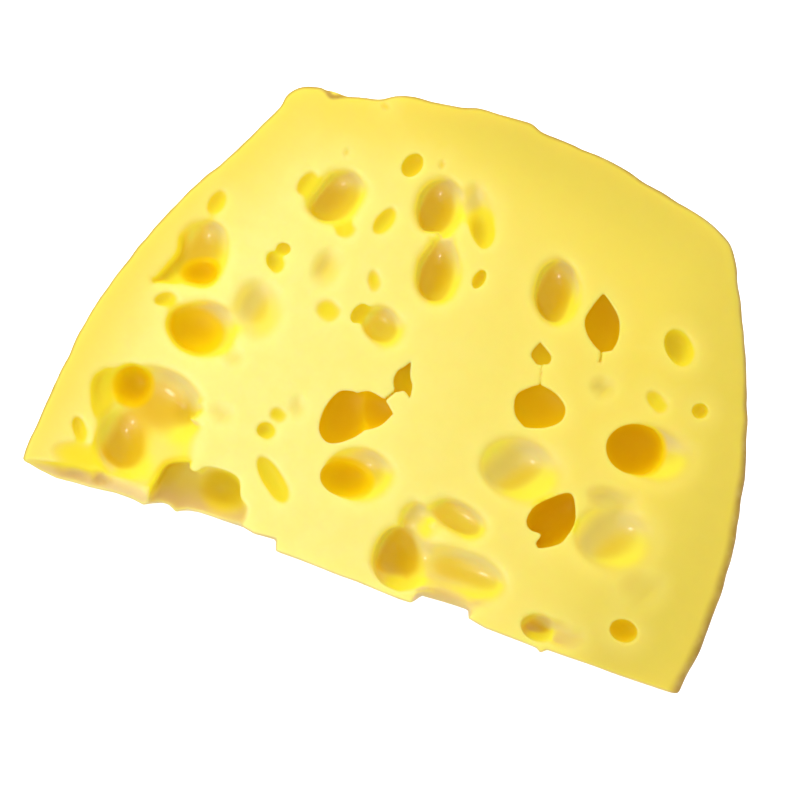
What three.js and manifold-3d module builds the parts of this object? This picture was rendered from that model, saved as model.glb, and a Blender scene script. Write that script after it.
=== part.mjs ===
// Wedge of big-eyed cheese, cut from a domed round wheel.
//
// Millimetres, +Z up, origin under the middle of the wedge, which lies on its lower cut face.
// X runs along the near cut, and +Y from the near cut to the wheel's rim.
//
// The wedge is worked out in the frame of its upper cut face: u runs along the near cut, r is the
// distance from the wheel's axis, and d is the depth under the upper cut face. The lower cut face
// passes through the same axis, so the rind's outline is the same on both cut faces.
import * as THREE from "three";
import { mergeVertices } from "three/addons/utils/BufferGeometryUtils.js";
import Module from "manifold-3d";

// Driving dimensions.
const WEDGE_ANGLE = THREE.MathUtils.degToRad(20); // between the two cut faces
const TIP_LENGTH = 50; // wheel's axis to the near cut, along the upper face
const WHEEL_STEP = THREE.MathUtils.degToRad(2); // one facet of the rind round the wheel
const RIND_STEPS = 66; // facets of the rind's outline
const STOCK = 200; // larger than the wedge every way
const CUT_DEPTH = 20; // the near cut's wall, with a little to spare under the wedge
const TIP_SPARE = 1; // the same, above the upper face
const LOWER_RAGGED = 0.15; // how ragged that wall is at its foot, as a share of its top

// The rind's outline on a cut face: u, and the distance from the near cut. It runs up the wheel's
// left side, over the lip the mould left at the corner, along the rim and down the right side.
const RIND = [
  [-70, -4], [-69.4, 10], [-66, 34], [-59, 55], [-49.2, 73], [-43.5, 84],
  [-42.6, 87.4], [-40.6, 89.8], [-36.8, 91.4], [-34.8, 91], [-33.4, 90.1], [-30.6, 91.2],
  [-24, 93], [-18.5, 95.2],
  [-11, 96], [-2, 97.4], [6, 97.5], [10, 96.6], [24, 95.4], [34, 93], [43, 91.1],
  [49.3, 88.9], [53.2, 85.4], [57.4, 76.5], [62, 66], [67, 52], [70.4, 38], [72.3, 24],
  [71.9, 12], [70.2, -4],
];

// The near cut's ragged line on the upper face: u, and the distance up the face. The cut tore
// away the thin front wall of two eyes, and left small nubs beside them. Towards the lower face
// the cut runs nearly straight.
const NEAR_CUT = [
  [-75, -0.2], [-68.5, -0.3], [-66, -1], [-62.5, -1.6], [-56, -0.9], [-50, -0.1],
  [-45.8, -0.1], [-43.2, -0.4], [-41.2, 1.2], [-39.2, 1.3], [-37.4, 0.1], [-35.6, 1.8],
  [-31, 2.3], [-23, 2.6], [-19.5, 1.8], [-15, 2.3], [-14.3, 0], [-3, -0.3], [6.5, -0.5],
  [12.8, -0.8], [15.2, -0.8], [15.8, 1.3], [20.6, 1.6], [26.2, 1.8], [26.6, 0.3],
  [30.5, -0.5], [41.4, -0.7], [42.5, -1.4], [43.6, -0.4], [58, -0.2], [78, 0],
];

// How an eye was cut: a pocket keeps more than half of the eye under the face, so it opens
// inwards; a cup and a bowl keep about half of it, as does a split one, whose front wall the near
// cut broke away, and a dish keeps less. The value is how far the eye's middle lies under the
// face, as a share of the eye's half height.
const POCKET = 0.4;
const CUP = 0.15;
const SPLIT = 0.06;
const BOWL = 0.05;
const DISH = -0.5;

// The knife pressed the paste as it went, so all but the pockets of the upper face lean as they
// go down: how far along u and away from the near cut, for each millimetre of depth.
const LEAN = [-0.36, -0.12];

// Round eyes of the upper cut face: kind, u, distance from the near cut, length and width of the
// opening, turn of its length from u in degrees, and depth.
const ROUND_EYES = [
  // left part of the face
  [CUP, -59, 4.9, 10.5, 5.6, 9, 0.8], [CUP, -60.6, 10.2, 4.6, 2.6, -55, 1.3],
  [BOWL, -57, -1.4, 32, 8.4, 5, 2.4], [SPLIT, -58.2, 0.5, 8.6, 4, 8, 2.7],
  [SPLIT, -53, 1.5, 4.4, 3.8, 0, 2.6],
  [CUP, -52.4, 40.7, 4.4, 2.6, 33, 1.4], [DISH, -34.1, 45.1, 11.6, 9.6, -81, 2.3],
  [DISH, -35.3, 34.1, 3.4, 3, 19, 0.6], [CUP, -48.7, 62.6, 5.2, 3, 74, 1.2],
  [POCKET, -32.8, 58, 2.8, 2.4, 19, 1.4], [CUP, -33.5, 55.1, 4.2, 3.2, -46, 1.7],
  [DISH, -34, 22.5, 4, 3, 0, 0.6],
  // top part
  [CUP, -32.3, 72.1, 5.4, 3.4, 69, 1.4], [CUP, -21.9, 65.6, 3.8, 2.6, 38, 1.1],
  [CUP, -15, 69.9, 6.2, 3.2, 69, 1.5], [DISH, -23.5, 57.4, 7.4, 4.8, 79, 1.4],
  [CUP, -13.2, 58, 4, 2.4, -71, 0.9], [CUP, -20.1, 49.3, 4.6, 4.2, 19, 0.9],
  [POCKET, -13.9, 50.7, 4.2, 2.6, 69, 1.9], [BOWL, -8.7, 50, 8, 7.2, -26, 3.6],
  [POCKET, -13.5, 82.2, 4.8, 3.6, 69, 2.1], [DISH, 1.9, 78.2, 9.6, 5.4, -61, 2],
  [CUP, -7.8, 84.1, 1.6, 1, 80, 0.5], [CUP, -22.4, 91.7, 1.5, 1.1, 0, 0.5],
  [CUP, -26.8, 80.5, 1.6, 1, 80, 0.5],
  [CUP, 4.2, 74.6, 7.2, 4, -61, 2.6], [POCKET, 6.7, 64.9, 3.8, 2.2, 79, 1.8],
  // right part
  [CUP, 48.7, 64.9, 7.2, 5, -46, 3], [DISH, 36.8, 52.5, 3.8, 3.4, 19, 0.9],
  [CUP, 48, 53.4, 4.6, 3, -31, 1.2], [POCKET, 56.5, 54.3, 2.9, 2.8, 19, 1.9],
  [DISH, 49.9, 43.4, 15.5, 10.6, 7, 4.2], [DISH, 26.6, 31.8, 16, 12.8, 4, 4.2],
  [DISH, 48.4, 25.2, 15.4, 13.2, 9, 3.6], [DISH, 45.6, 32, 8.8, 4.6, 4, 1.6],
  [DISH, 56.4, 17.8, 6, 5.4, 20, 0.8], [POCKET, 56.5, 8.4, 5.2, 4.2, 0, 3.2],
  [BOWL, 40.8, 3.3, 7, 5.2, 5, 4.8], [DISH, 45.4, 3.2, 6.4, 4.6, 5, 1.4],
  // middle
  [BOWL, -3.6, 20.4, 13, 10, 19, 4.2], [POCKET, -5.8, 18.4, 9.6, 6.8, 9, 5.6],
  [CUP, -24, 22.4, 3.6, 3.2, 19, 1.7], [CUP, -22.8, 26.2, 3.2, 2.8, 19, 1],
  [DISH, -19.4, 28.9, 3.8, 2.4, -71, 0.7], [CUP, -19.5, 13.6, 10.2, 4, -40, 1.8],
];

// Eyes whose rim broke away unevenly. Each has how far it widens under its rim, the rim's outline
// (a point given twice is a corner), and its round hollows as rows like those above.
const TORN_EYES = [
  // the merged eyes at the left
  [0, [[-60.8, 19.4], [-59.7, 22.5], [-57.2, 24.4], [-57.2, 24.4], [-53.6, 26.5], [-48.8, 27.1],
     [-43.6, 26.8], [-38.8, 25], [-38.8, 25], [-39.2, 22.9], [-38.3, 21.7], [-39.6, 19.4],
     [-39.6, 19.4], [-34, 15], [-34, 6], [-42, 3], [-52.2, 3.5], [-57, 7.6], [-58, 12.2]],
   [[BOWL, -46.5, 19.8, 18, 15, -8, 5.2], [POCKET, -53.3, 21.6, 8, 7.2, -60, 6.2],
   [BOWL, -50.6, 10.8, 14, 11.4, -60, 6.6], [CUP, -58.2, 18.8, 9.6, 6, -66, 2.2],
   [BOWL, -43.2, 10.4, 12, 9.4, 39, 3], [BOWL, -40.8, 20.9, 4.6, 3.6, -60, 4.6]]],
  // the torn eye at the near cut, left
  [0, [[-42.4, 5], [-41.3, 9], [-37, 11.1], [-37, 11.1], [-36.4, 9.8], [-34.9, 9.7],
     [-33.3, 11.5], [-30, 13.3], [-26.5, 12.2], [-24.6, 7.7], [-21.6, 5.6], [-20.4, 1.3],
     [-20.4, -4], [-42, -4], [-42.6, 1]],
   [[SPLIT, -33, 4.6, 21, 14, 0, 7.4], [CUP, -28.2, 7.4, 8.6, 8, 19, 7.4],
   [CUP, -38.8, 6.6, 9, 7.6, 59, 5.2]]],
  // the merged eyes at the near cut, right of the middle
  [0, [[5.1, 4], [4.5, 8], [5.6, 11.3], [7.7, 13.1], [7.7, 13.1], [7.4, 16], [9.1, 18.3],
     [12.3, 17.7], [13.5, 14.9], [16.9, 14.9], [21, 14.8], [25.5, 13.3], [30.3, 9.7],
     [31.2, 6.5], [27, 1.5], [20, -4], [12.3, 0.2], [7.8, 1]],
   [[BOWL, 9.8, 7.4, 14, 11.6, -66, 7.4], [DISH, 10.6, 15.4, 8.4, 8, -81, 2.6],
   [BOWL, 21.6, 8.2, 19, 9, 3, 4], [SPLIT, 21.5, 0.4, 11.6, 5.8, 2, 4.2]]],
  [0, [[13, 18], [13.5, 20.2], [16.1, 21.4], [20.1, 20.9], [23.2, 18.6], [22.8, 16.6],
     [19.8, 15.7], [16, 16.2]],
   [[BOWL, 18.2, 18.4, 12.4, 7.6, -16, 3.2]]],
  // left part of the face
  [0, [[-52.9, 56.5], [-49.1, 58.2], [-45.7, 57.7], [-44, 53.5], [-44.1, 48.1], [-45.7, 46.2],
     [-49.5, 45.3], [-55.5, 43.8], [-55.5, 43.8], [-54.2, 47], [-53, 50.5], [-53.6, 54.2]],
   [[BOWL, -47.8, 52.4, 13.4, 9.8, -81, 4.6], [POCKET, -47.9, 48.3, 6.8, 5.6, 19, 5.6],
   [CUP, -52.6, 48.6, 13, 5.6, 68, 2.8]]],
  [0, [[-49.3, 40], [-44.4, 42.7], [-39.6, 42.7], [-37.2, 39.6], [-37.7, 35.4],
     [-41.3, 32.7], [-46.3, 32.5], [-49.7, 34.9], [-50.5, 37.9]],
   [[BOWL, -43.7, 37.6, 14.6, 11.6, 9, 5], [POCKET, -45.2, 36.4, 10.4, 8.2, 9, 5.4]]],
  // top part
  [0, [[-28.2, 75.8], [-24.5, 76.9], [-21.5, 74.9], [-21.6, 71.5], [-23.1, 67.8],
     [-27.6, 65.9], [-31.1, 67.9], [-29.6, 73.5]],
   [[BOWL, -26.2, 71.5, 13, 10.6, 58, 5]]],
  [0, [[-9, 80.1], [-5.8, 81.6], [-2.3, 80], [-1.2, 76.2], [-2, 72.3], [-3.2, 70.2],
     [-3.2, 70.2], [-4.6, 71.2], [-7.6, 70.8], [-9.8, 73.5], [-10.3, 77.1]],
   [[BOWL, -5.8, 76.1, 13, 10.4, -76, 5.6]]],
  [0, [[-4.5, 69.1], [-4.5, 69.1], [-1, 70.1], [-1, 70.1], [1, 67.8], [2.4, 63.9], [2, 59.5],
     [-1.6, 57.7], [-4.7, 59.4], [-6.1, 64], [-5.2, 67.4]],
   [[BOWL, -1.8, 63.9, 14, 9.8, -81, 5.6]]],
  // right part
  [0, [[20.2, 73.4], [23.7, 72.5], [25.9, 69.1], [26.4, 64.6], [24.2, 61.8], [20.8, 62.1],
      [18.1, 65.4], [17.8, 70.6]],
   [[BOWL, 22.1, 67.6, 14.4, 10.4, -79, 5.8]]],
  [1.2, [[31, 70.2], [31, 70.2], [33.4, 68.5], [35.7, 66.1], [36.7, 62.7], [36.4, 60],
     [36.4, 60], [34.1, 59.2], [30.9, 61.2], [29.3, 64], [29.9, 67.3]],
   [[POCKET, 33.2, 64.2, 13, 10, -71, 5.4]]],
  [0.8, [[22.3, 57], [22.3, 57], [25.3, 55], [25.4, 53.4], [25.4, 53.4], [23.3, 52.5],
     [23.3, 52.5], [21.4, 54.1]],
   [[POCKET, 23.4, 54.6, 6.6, 6, -41, 2.4]]],
  [1.2, [[25.1, 49], [25.1, 49], [28.7, 48.2], [31.3, 46.2], [31.4, 43.5], [28.8, 41.2],
     [25, 39.9], [25, 39.9], [22.3, 41.8], [21.3, 45.3], [23.1, 47.6]],
   [[POCKET, 26.4, 44.6, 12.4, 10, -6, 5]]],
  [1.2, [[41.2, 42.9], [42.8, 46.2], [46.3, 48], [49.9, 47.2], [51.8, 44.5], [51.8, 41.2],
     [49.1, 38.6], [45.6, 38], [42.5, 39.6]],
   [[POCKET, 46.5, 43, 11, 10, -1, 7.5]]],
  [0.3, [[36.8, 30.3], [38.4, 30.4], [40.4, 25.9], [39.9, 21.9], [39.4, 20.3], [35.4, 17.9],
     [35.4, 17.9], [34.6, 19], [35, 20.9], [32.7, 21.1], [31.3, 22.5], [31.5, 24.9],
     [33.1, 27.1]],
   [[POCKET, 36.2, 24.4, 13, 9.2, 64, 7.5]]],
  // middle
  [0.8, [[-0.8, 45], [-0.8, 45], [-0.1, 42.3], [1, 40.4], [1.4, 37.9], [1.4, 37.9], [-0.2, 38.9],
     [-1.7, 38.3], [-2.9, 40.1], [-2.8, 42.2], [-1.8, 43.5]],
   [[POCKET, -0.8, 41, 9.4, 6, -81, 3]]],
  [0.8, [[-14, 25.9], [-14.3, 30.4], [-12.7, 34.4], [-10.1, 35.5], [-9, 35.5], [-7.3, 36.7],
     [-5.1, 36.4], [-3.1, 35.8], [-0.8, 33.9], [-0.8, 33.9], [-2.3, 31], [-4.8, 28.9],
     [-7.3, 26.3], [-9.5, 24.7], [-11.9, 24.1]],
   [[POCKET, -10.2, 30.2, 12.8, 10.2, 89, 6], [POCKET, -5, 33, 9.6, 8, -1, 5.6]]],
];
const LID = 0.9; // thickness of the rim over a pocket that widens under it

// Cracks: from and to on the upper face, width and depth.
const CRACKS = [
  [[-1.5, 39], [-3.5, 35.7], 0.6, 2.2], [[34.3, 59.6], [34.9, 57], 0.6, 1.6],
  [[24.2, 52.8], [25.1, 48.8], 0.5, 0.6],
];

const UPPER_EYES = [...ROUND_EYES, ...TORN_EYES.flatMap(([, , rows]) => rows)];

// Eyes of the near cut: kind, u, depth under the upper face, length, width and depth.
const NEAR_EYES = [
  [BOWL, -55, 9.5, 7, 5.4, 3], [DISH, -4, 8, 10, 7, 2.4], [BOWL, 5, 12.5, 4.6, 3.8, 2.2],
  [POCKET, 35, 10, 8.4, 6.4, 5.5], [DISH, 54, 7, 5, 4.2, 1.2], [BOWL, 62, 12, 4, 3.4, 2],
];

// Eyes of the lower cut face are strewn by a rule: they keep clear of the rind, of each other
// and of the upper eyes.
const LOWER_EYES = 26;
const LOWER_SEED = 11;
const RIND_MARGIN = 9; // rind or near cut to the middle of a lower eye, beyond its own radius
const EYE_WALL = 3; // least cheese between two eyes

const cheeseMaterial = new THREE.MeshStandardMaterial({
  color: "#f7de72",
  roughness: 0.38,
  metalness: 0,
});

const wasm = await Module();
wasm.setup();

// A closed geometry as a solid, and a solid as a geometry.
function solidOf(geometry) {
  const bare = geometry.clone();
  bare.deleteAttribute("normal");
  bare.deleteAttribute("uv");
  const merged = mergeVertices(bare, 1e-4);
  return new wasm.Manifold(
    new wasm.Mesh({
      numProp: 3,
      vertProperties: merged.attributes.position.array,
      triVerts: new Uint32Array(merged.index.array),
    }),
  );
}

function geometryOf(solid) {
  const mesh = solid.getMesh();
  const geometry = new THREE.BufferGeometry();
  geometry.setAttribute(
    "position",
    new THREE.BufferAttribute(mesh.vertProperties, 3),
  );
  geometry.setIndex(new THREE.BufferAttribute(mesh.triVerts, 1));
  const flat = geometry.toNonIndexed();
  flat.computeVertexNormals();
  return flat;
}

const rindCurve = new THREE.SplineCurve(
  RIND.map(([u, s]) => new THREE.Vector2(u, TIP_LENGTH + s)),
);
const rindLine = rindCurve.getSpacedPoints(RIND_STEPS);

// The wheel's solid: the rind's outline turned about the wheel's axis, which lies along u.
function wheel() {
  const first = rindLine[0];
  const last = rindLine[rindLine.length - 1];
  const profile = [
    new THREE.Vector2(0, first.x),
    ...rindLine.map((p) => new THREE.Vector2(p.y, p.x)),
    new THREE.Vector2(0, last.x),
  ];
  const turns = Math.round((2 * Math.PI) / WHEEL_STEP);
  const geometry = new THREE.LatheGeometry(profile, turns);
  geometry.rotateZ(-Math.PI / 2);
  return solidOf(geometry);
}

// The sector between the two cut faces, along the whole axis.
function sector() {
  const section = new THREE.Shape([
    new THREE.Vector2(0, 0),
    new THREE.Vector2(STOCK, -STOCK * Math.tan(WEDGE_ANGLE)),
    new THREE.Vector2(STOCK, 0),
  ]);
  const geometry = new THREE.ExtrudeGeometry(section, {
    depth: STOCK,
    bevelEnabled: false,
  });
  geometry.rotateY(Math.PI / 2);
  geometry.rotateX(Math.PI / 2);
  geometry.translate(-STOCK / 2, 0, 0);
  return solidOf(geometry);
}

// The tip that the near cut takes away, square to the upper face. It is extruded from the ragged
// line, whose waves then fade towards the foot of the cut.
function tip() {
  const outline = new THREE.Shape([
    ...NEAR_CUT.map(([u, s]) => new THREE.Vector2(u, s)),
    new THREE.Vector2(STOCK, 0),
    new THREE.Vector2(STOCK, -STOCK),
    new THREE.Vector2(-STOCK, -STOCK),
    new THREE.Vector2(-STOCK, 0),
  ]);
  const geometry = new THREE.ExtrudeGeometry(outline, {
    depth: CUT_DEPTH + TIP_SPARE,
    bevelEnabled: false,
  });
  geometry.translate(0, 0, -CUT_DEPTH);
  const position = geometry.attributes.position;
  for (let i = 0; i < position.count; i++) {
    const s = position.getY(i);
    const foot = position.getZ(i) < 0 && s > -STOCK;
    position.setY(i, TIP_LENGTH + (foot ? s * LOWER_RAGGED : s));
  }
  return solidOf(geometry);
}

// One eye: an ellipsoid that opens on the plane z = 0 of its own frame, with the cheese below.
function eye(kind, length, width, depth) {
  const halfHeight = depth / (1 + kind);
  const swell = 1 / Math.sqrt(1 - kind * kind);
  const sides = Math.round(THREE.MathUtils.clamp(length, 6, 15));
  const geometry = new THREE.SphereGeometry(1, sides, Math.ceil(sides * 0.55));
  geometry.rotateX(Math.PI / 2);
  geometry.scale((length / 2) * swell, (width / 2) * swell, halfHeight);
  geometry.translate(0, 0, -kind * halfHeight);
  return geometry;
}

function upperEye([kind, u, s, length, width, turn, depth]) {
  const geometry = eye(kind, length, width, depth);
  geometry.rotateZ(THREE.MathUtils.degToRad(turn));
  if (kind !== POCKET) {
    const lean = new THREE.Matrix4().makeShear(0, 0, 0, 0, -LEAN[0], -LEAN[1]);
    geometry.applyMatrix4(lean);
  }
  geometry.translate(u, TIP_LENGTH + s, 0);
  return solidOf(geometry);
}

// A shape on the upper face as a solid, from some depth up to a little above the face.
function fromFace(points, depth) {
  const outline = new THREE.Shape(points.map(([u, s]) => new THREE.Vector2(u, s)));
  const geometry = new THREE.ExtrudeGeometry(outline, {
    depth: depth + TIP_SPARE,
    bevelEnabled: false,
  });
  geometry.translate(0, TIP_LENGTH, -depth);
  return geometry;
}

// The round hollows, as far as the broken rim opens them: those that widen do so under the lid.
function tornEye([widening, outline, rows]) {
  const hollows = wasm.Manifold.union(rows.map(upperEye));
  const corners = outline.filter(
    (p, i) => i === 0 || p[0] !== outline[i - 1][0] || p[1] !== outline[i - 1][1],
  );
  const opened = hollows.intersect(solidOf(fromFace(corners, CUT_DEPTH)));
  if (widening === 0) return opened;
  return opened.add(hollows.trimByPlane([0, 0, -1], LID));
}

// A narrow groove that thins out downwards.
function crack([from, to, width, depth]) {
  const [du, ds] = [to[0] - from[0], to[1] - from[1]];
  const length = Math.hypot(du, ds);
  const side = [((-ds / length) * width) / 2, ((du / length) * width) / 2];
  const corners = [from, to, to, from].map(([u, s], i) => {
    const sign = i < 2 ? 1 : -1;
    return [u + sign * side[0], s + sign * side[1]];
  });
  const geometry = fromFace(corners, depth);
  const position = geometry.attributes.position;
  for (let i = 0; i < position.count; i++) {
    if (position.getZ(i) > 0) continue;
    const u = position.getX(i) - from[0];
    const s = position.getY(i) - TIP_LENGTH - from[1];
    const across = (side[0] * u + side[1] * s) / (width / 2) ** 2;
    position.setX(i, position.getX(i) - across * side[0] * 0.8);
    position.setY(i, position.getY(i) - across * side[1] * 0.8);
  }
  return solidOf(geometry);
}

function nearEye([kind, u, d, length, width, depth]) {
  const geometry = eye(kind, length, width, depth);
  geometry.rotateX(Math.PI / 2);
  geometry.translate(u, TIP_LENGTH, -d);
  return solidOf(geometry);
}

// A number from 0 to 1 that looks random and is the same in every run.
function numbers(seed) {
  let state = seed;
  return () => {
    state = (state * 16807) % 2147483647;
    return state / 2147483647;
  };
}

// Places for the lower eyes, in the frame of the lower cut face: the same u and r, and depth
// counted up into the cheese.
function lowerEyes() {
  const draw = numbers(LOWER_SEED);
  const upper = UPPER_EYES.map(([kind, u, s, length, width, , depth]) => ({
    u,
    r: TIP_LENGTH + s,
    d: depth / 2,
    radius: (length + width) / 4,
  }));
  const placed = [];
  while (placed.length < LOWER_EYES) {
    const length = 3.5 + 13 * draw() ** 1.4;
    const width = length * (0.65 + 0.3 * draw());
    const kind = [POCKET, BOWL, DISH][Math.floor(3 * draw())];
    const depth = width * (0.42 + 0.3 * kind + 0.12 * draw());
    const u = -75 + 150 * draw();
    const r = TIP_LENGTH + 105 * draw();
    const turn = 180 * draw();
    const radius = length / 2;
    const inRind = rindLine.every(
      (p) => Math.hypot(p.x - u, p.y - r) > radius + RIND_MARGIN,
    );
    const inOutline =
      r > TIP_LENGTH / Math.cos(WEDGE_ANGLE) + radius + RIND_MARGIN / 2 &&
      rindLine.some((p) => p.x < u && p.y > r) &&
      rindLine.some((p) => p.x > u && p.y > r) &&
      Math.hypot(u / 70, (r - TIP_LENGTH) / 97) < 1.25;
    const clearOfUpper = upper.every((e) => {
      const thickness = r * Math.sin(WEDGE_ANGLE);
      const gap = Math.hypot(e.u - u, e.r - r, thickness - e.d - depth / 2);
      return gap > e.radius + radius + EYE_WALL || thickness > 30;
    });
    const clearOfLower = placed.every(
      (e) => Math.hypot(e.u - u, e.r - r) > e.length / 2 + radius + EYE_WALL,
    );
    if (inRind && inOutline && clearOfUpper && clearOfLower)
      placed.push({ kind, u, r, length, width, turn, depth });
  }
  return placed;
}

function lowerEye({ kind, u, r, length, width, turn, depth }) {
  const geometry = eye(kind, length, width, depth);
  geometry.rotateZ(THREE.MathUtils.degToRad(turn));
  geometry.rotateX(Math.PI);
  geometry.translate(u, r, 0);
  geometry.rotateX(-WEDGE_ANGLE);
  return solidOf(geometry);
}

function cheeseMesh() {
  const eyes = [
    ...ROUND_EYES.map(upperEye),
    ...TORN_EYES.map(tornEye),
    ...CRACKS.map(crack),
    ...NEAR_EYES.map(nearEye),
    ...lowerEyes().map(lowerEye),
  ];
  const body = wheel().intersect(sector()).subtract(tip());
  const solid = body.subtract(wasm.Manifold.union(eyes));
  const mesh = new THREE.Mesh(geometryOf(solid), cheeseMaterial);
  mesh.name = "cheese";
  return mesh;
}

// The wedge is laid on its lower cut face, and the group is moved so that the origin is under
// its middle.
const cheese = cheeseMesh();
cheese.rotation.x = WEDGE_ANGLE;
const wedge = new THREE.Group();
wedge.add(cheese);
const box = new THREE.Box3().setFromObject(cheese, true);
const middle = box.getCenter(new THREE.Vector3());
cheese.position.set(-middle.x, -middle.y, 0);

export default wedge;
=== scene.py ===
import math

import bpy
import numpy as np
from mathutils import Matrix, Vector


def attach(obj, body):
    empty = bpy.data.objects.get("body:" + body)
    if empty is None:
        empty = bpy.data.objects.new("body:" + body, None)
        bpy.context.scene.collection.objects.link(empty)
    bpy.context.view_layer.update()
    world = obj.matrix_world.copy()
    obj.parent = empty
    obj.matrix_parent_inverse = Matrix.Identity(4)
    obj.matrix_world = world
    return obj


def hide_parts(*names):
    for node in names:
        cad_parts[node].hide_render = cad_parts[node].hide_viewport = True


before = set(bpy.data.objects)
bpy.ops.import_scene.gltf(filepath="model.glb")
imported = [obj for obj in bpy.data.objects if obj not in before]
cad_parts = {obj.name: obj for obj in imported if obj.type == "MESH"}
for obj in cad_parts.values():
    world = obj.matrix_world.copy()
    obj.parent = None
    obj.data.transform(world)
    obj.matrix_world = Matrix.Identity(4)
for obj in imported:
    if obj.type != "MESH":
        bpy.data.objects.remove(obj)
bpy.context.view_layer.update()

# ---- The cheese -------------------------------------------------------------------------------
# One piece of big-eyed cheese, cut from a domed round wheel: two flat cut faces that meet on the
# wheel's axis, a ragged near cut, and the wheel's thin rind on its left, right and far sides.
# The eyes are bubbles that the knife opened at every height, so some are pockets and some dishes.

MM = 0.001
WEDGE_ANGLE = math.radians(20)  # between the two cut faces
TIP_LENGTH = 50.0  # wheel's axis to the near cut, along the upper face, in millimetres as all here

# The grid that the surface is found on: along u, away from the wheel's axis, and up. A field on
# it holds the distance to a surface, less than zero on the cheese's side of it.
GRID = 0.36
GRID_FROM = (-74.0, TIP_LENGTH - 4, -56.0)
GRID_TO = (75.5, TIP_LENGTH + 100, 1.5)
axes = tuple(np.arange(start, end, GRID) for start, end in zip(GRID_FROM, GRID_TO))
U, R, H = [axis.astype(np.float32) for axis in axes]

HILL_GAIN = 1.6  # makes up for the height that blending takes from random hills


def curve_through(points, steps):
    """A smooth line through the points, even along its length."""
    p = np.array(points, float)
    p = np.vstack([2 * p[0] - p[1], p, 2 * p[-1] - p[-2]])
    line = []
    for a, b, c, d in zip(p[:-3], p[1:-2], p[2:-1], p[3:]):
        for t in np.linspace(0, 1, 12, endpoint=False):
            line.append(
                0.5 * (2 * b + (c - a) * t + (2 * a - 5 * b + 4 * c - d) * t ** 2
                       + (3 * b - a - 3 * c + d) * t ** 3)
            )
    line = np.array(line + [p[-2]])
    along = np.concatenate([[0], np.cumsum(np.linalg.norm(np.diff(line, axis=0), axis=1))])
    even = np.linspace(0, along[-1], steps + 1)
    return np.stack([np.interp(even, along, line[:, i]) for i in (0, 1)], 1)


def distance_to_line(x, y, line):
    """Distance of each grid point to a line of short straight pieces."""
    best = np.full((len(x), len(y)), 1e9)
    px, py = np.meshgrid(x, y, indexing="ij")
    for a, b in zip(line[:-1], line[1:]):
        d = b - a
        t = np.clip(((px - a[0]) * d[0] + (py - a[1]) * d[1]) / max(d @ d, 1e-12), 0, 1)
        best = np.minimum(best, (px - a[0] - t * d[0]) ** 2 + (py - a[1] - t * d[1]) ** 2)
    return np.sqrt(best)


def soft_max(a, b, k):
    """The larger of two fields, blended over k where they are close."""
    h = np.maximum(k - np.abs(a - b), 0) / k
    return np.maximum(a, b) + h * h * k * 0.25


def waves(axes, cell, height, seed):
    """Smooth random waves of that height on a grid, with hills about a cell apart."""
    random = np.random.default_rng(seed)
    ends = [(axis[-1] - axis[0]) / cell for axis in axes]
    field = random.uniform(-1, 1, [int(e) + 5 for e in ends])
    for i, axis in enumerate(axes):
        t = (axis - axis[0]) / cell + 1
        base = np.floor(t).astype(int)
        f = t - base
        weights = np.zeros((len(axis), field.shape[i]))
        rows = np.arange(len(axis))
        weights[rows, base - 1] = (1 - f) ** 3 / 6
        weights[rows, base] = (3 * f ** 3 - 6 * f ** 2 + 4) / 6
        weights[rows, base + 1] = (-3 * f ** 3 + 3 * f ** 2 + 3 * f + 1) / 6
        weights[rows, base + 2] = f ** 3 / 6
        field = np.moveaxis(np.tensordot(weights, field, (1, i)), 0, i)
    return height * HILL_GAIN * field


# The rind's outline on a cut face: u along the near cut, and the distance from the near cut.
RIND = [
    (-70, -4), (-69.4, 10), (-66, 34), (-59, 55), (-49.2, 73), (-43.5, 84),
    (-42.6, 87.4), (-40.6, 89.8), (-36.8, 91.4), (-34.8, 91), (-33.4, 90.1), (-30.6, 91.2),
    (-24, 93), (-18.5, 95.2),
    (-11, 96), (-2, 97.4), (6, 97.5), (10, 96.6), (24, 95.4), (34, 93), (43, 91.1),
    (49.3, 88.9), (53.2, 85.4), (57.4, 76.5), (62, 66), (67, 52), (70.4, 38), (72.3, 24),
    (71.9, 12), (70.2, -4),
]
RIND_STEPS = 66  # steps along it, as in the plain solid
FINER = 6  # and how many times finer the line is here

# The rind's small waves: how far apart the hills are, their height, and the seed of the random
# numbers. They run down from the upper face, longer than they are wide.
RIND_RELIEF = [(9, 0.22, 3), (2.3, 0.3, 4)]
RIND_STRETCH = 0.3

rind_line = curve_through([(u, TIP_LENGTH + s) for u, s in RIND], RIND_STEPS * FINER)

# The rind is a surface of revolution, so its field is found once against the distance from the
# wheel's axis, and read off for every row of the grid.
radius_axis = np.arange(TIP_LENGTH - 6, 165, GRID)
rind_flat = distance_to_line(U, radius_axis, rind_line)
left_half = rind_line[: np.argmax(rind_line[:, 1]) + 1]
right_half = rind_line[np.argmax(rind_line[:, 1]):][::-1]
left_edge = np.interp(radius_axis, left_half[:, 1], left_half[:, 0])
right_edge = np.interp(radius_axis, right_half[:, 1], right_half[:, 0])
crown = rind_line[:, 1].max()
within = (
    (U[:, None] > left_edge) & (U[:, None] < right_edge) & (radius_axis[None, :] < crown)
)
rind_flat = np.where(within, -rind_flat, rind_flat).astype(np.float32)
from_axis = np.sqrt(R[:, None] ** 2 + H[None, :] ** 2)
place = (from_axis - radius_axis[0]) / GRID
base = np.clip(place.astype(int), 0, len(radius_axis) - 2)
part = np.clip(place - base, 0, 1).astype(np.float32)
rind = rind_flat[:, base] * (1 - part) + rind_flat[:, base + 1] * part
tall = (U, R, H * RIND_STRETCH)
rind += sum(waves(tall, *relief).astype(np.float32) for relief in RIND_RELIEF)

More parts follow.
